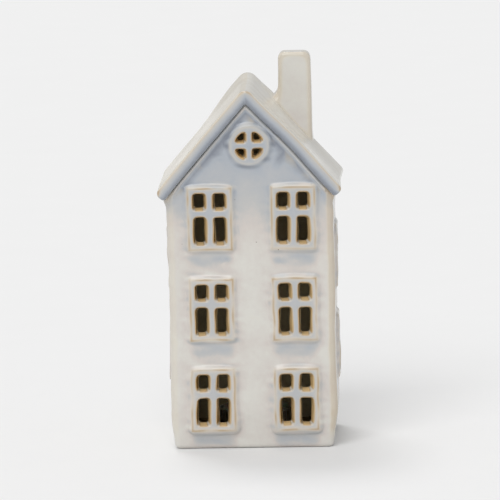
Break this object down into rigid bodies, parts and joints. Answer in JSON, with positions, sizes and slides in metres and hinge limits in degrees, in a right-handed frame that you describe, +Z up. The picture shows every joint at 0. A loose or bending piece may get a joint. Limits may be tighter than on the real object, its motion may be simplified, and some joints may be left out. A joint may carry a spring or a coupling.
{
  "type": "tealight house",
  "caption": "Glazed ceramic town house with raised sash windows, a round gable window and a chimney, set down over a tealight that shines out through its open panes.",
  "frame": {"origin": "middle of the house's outline seen from above, on the table under it", "axes": "+Z up, -Y out of the front gable, +X to the right of someone who faces the front"},
  "size_m": [0.0929, 0.074, 0.1955],
  "materials": {
    "glaze": "gloss reactive glaze, off-white, blue-grey where thick and tan where thin",
    "bare_stoneware": "unglazed fired clay",
    "cup_foil": "thin drawn sheet, bright",
    "wax": "paraffin wax, semi-matt",
    "wick_cotton": "waxed cotton braid",
    "tinned_steel": "tinned"
  },
  "bodies": {
    "tealight": {"tealight_cup": "cup_foil"},
    "candle": {"wax": "wax", "wick": "wick_cotton", "wick_sustainer": "tinned_steel"},
    "house": {"walls": "glaze", "foot_ring": "bare_stoneware", "roof": "glaze", "chimney": "glaze"}
  },
  "joints": [
    {"name": "house_lift", "type": "slide", "parent": "tealight", "child": "house", "axis": [0, 0, 1], "range_m": [0, 0.06]},
    {"name": "candle_lift", "type": "slide", "parent": "tealight", "child": "candle", "axis": [0, 0, 1], "range_m": [0, 0.02]}
  ]
}
